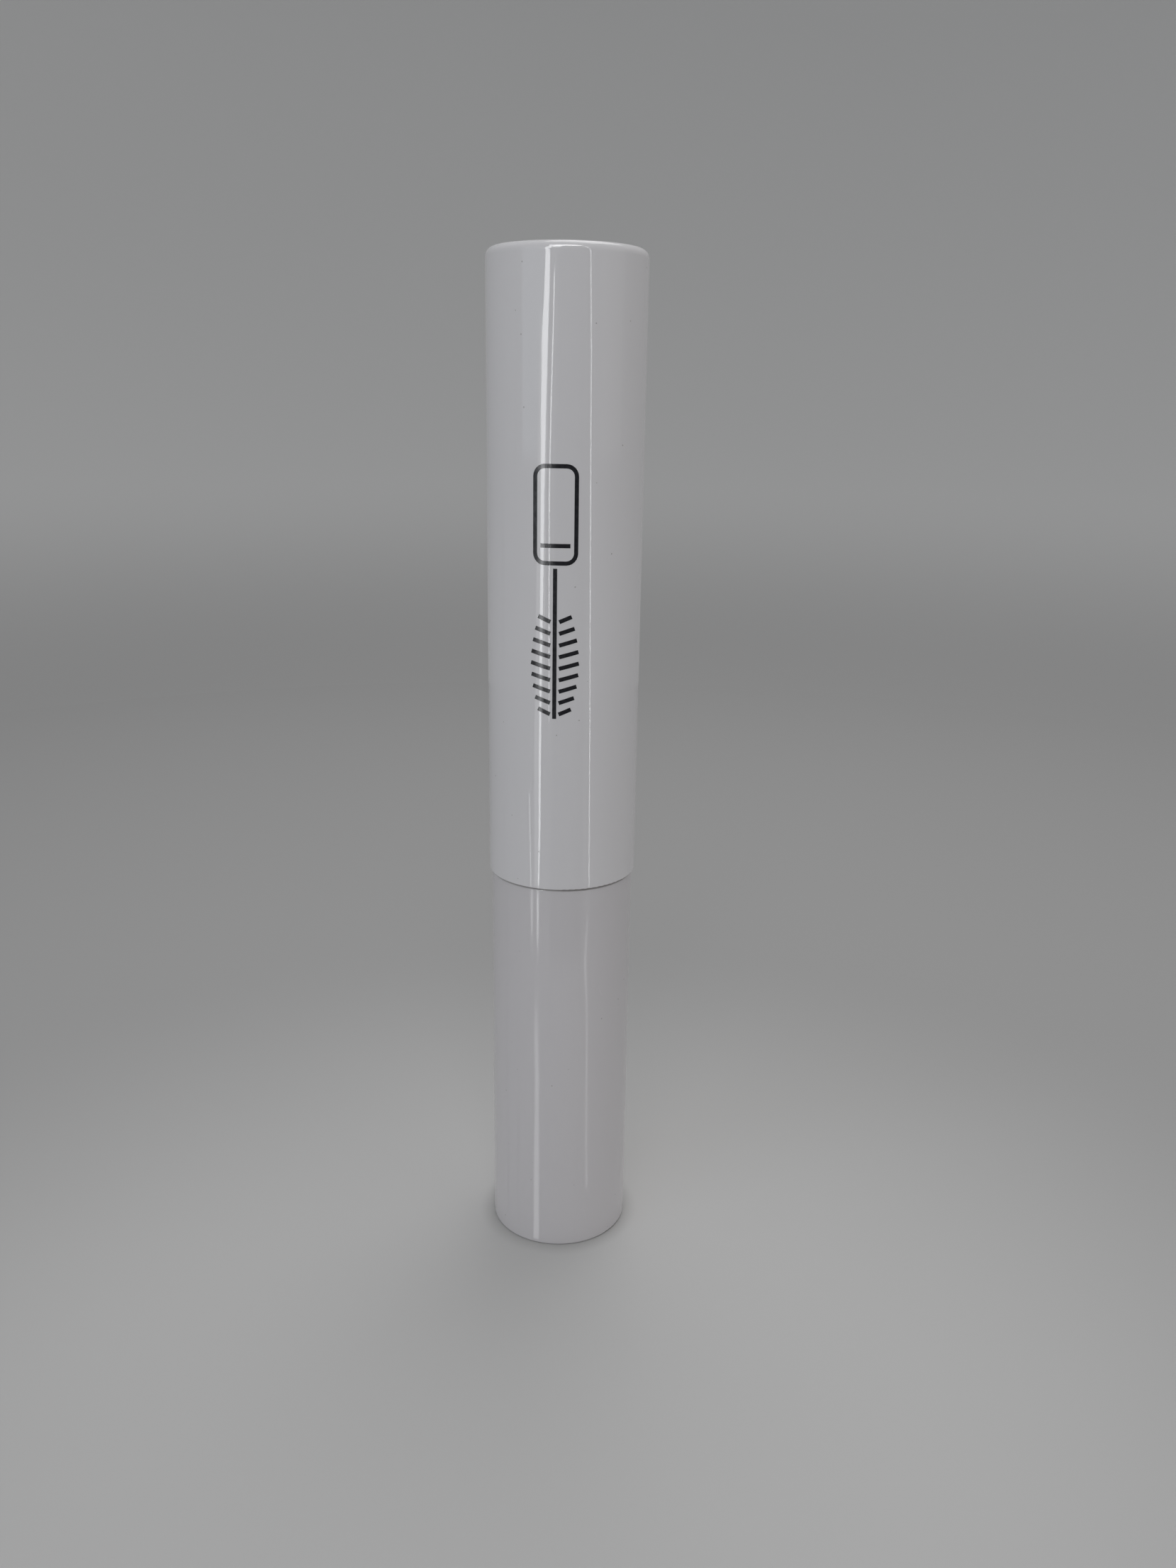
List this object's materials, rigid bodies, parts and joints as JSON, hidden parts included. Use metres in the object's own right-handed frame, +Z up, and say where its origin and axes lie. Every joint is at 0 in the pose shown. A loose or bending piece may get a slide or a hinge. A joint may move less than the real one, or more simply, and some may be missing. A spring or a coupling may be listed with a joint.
{
  "type": "mascara tube",
  "caption": "Tall round white cosmetic tube: double-walled bottle with threaded neck and wiper, and a long screw cap that carries the wand and brush.",
  "frame": {"origin": "centre of the flat bottom that the tube stands on", "axes": "+Z up along the tube's axis, -Y towards the printed front, right-handed; positive cap_turn unscrews"},
  "size_m": [0.018, 0.018, 0.121],
  "materials": {
    "cap_white": "high gloss moulded ABS",
    "bottle_white": "satin gloss moulded ABS",
    "plug_white": "fine matte moulded ABS",
    "label_blank": "coated paper, blank",
    "vial_natural": "milky natural polypropylene",
    "wiper_soft": "soft waxy polyethylene",
    "mascara_black": "wet black cream",
    "weight_steel": "turned steel",
    "insert_white": "moulded polypropylene",
    "washer_grey": "foamed polyethylene liner",
    "stem_white": "moulded acetal",
    "wire_steel": "drawn stainless wire",
    "bristle_black": "nylon fibres",
    "mark_ink": "screen-printed ink"
  },
  "bodies": {
    "bottle": {"bottle_sleeve": "bottle_white", "base_plug": "plug_white", "base_label": "label_blank", "inner_vial": "vial_natural", "shoulder_ring": "bottle_white", "wiper": "wiper_soft", "mascara_formula": "mascara_black"},
    "weight": {"cap_weight": "weight_steel"},
    "cap": {"cap_shell": "cap_white", "inner_cap": "insert_white", "sealing_washer": "washer_grey", "wand_stem": "stem_white", "brush_core": "wire_steel", "brush_bristles": "bristle_black"}
  },
  "joints": [
    {"name": "cap_rise", "type": "slide", "parent": "bottle", "child": "weight", "axis": [0, 0, 1], "range_m": [0, 0.0601]},
    {"name": "cap_turn", "type": "hinge", "parent": "weight", "child": "cap", "pos_m": [0, 0, 0.07], "axis": [0, 0, 1], "range_deg": [0, 3600], "deforming": ["brush_bristles"]}
  ],
  "couplings": [
    {"joint": "cap_rise", "follows": "cap_turn", "m_per_rad": 0.00095493}
  ]
}
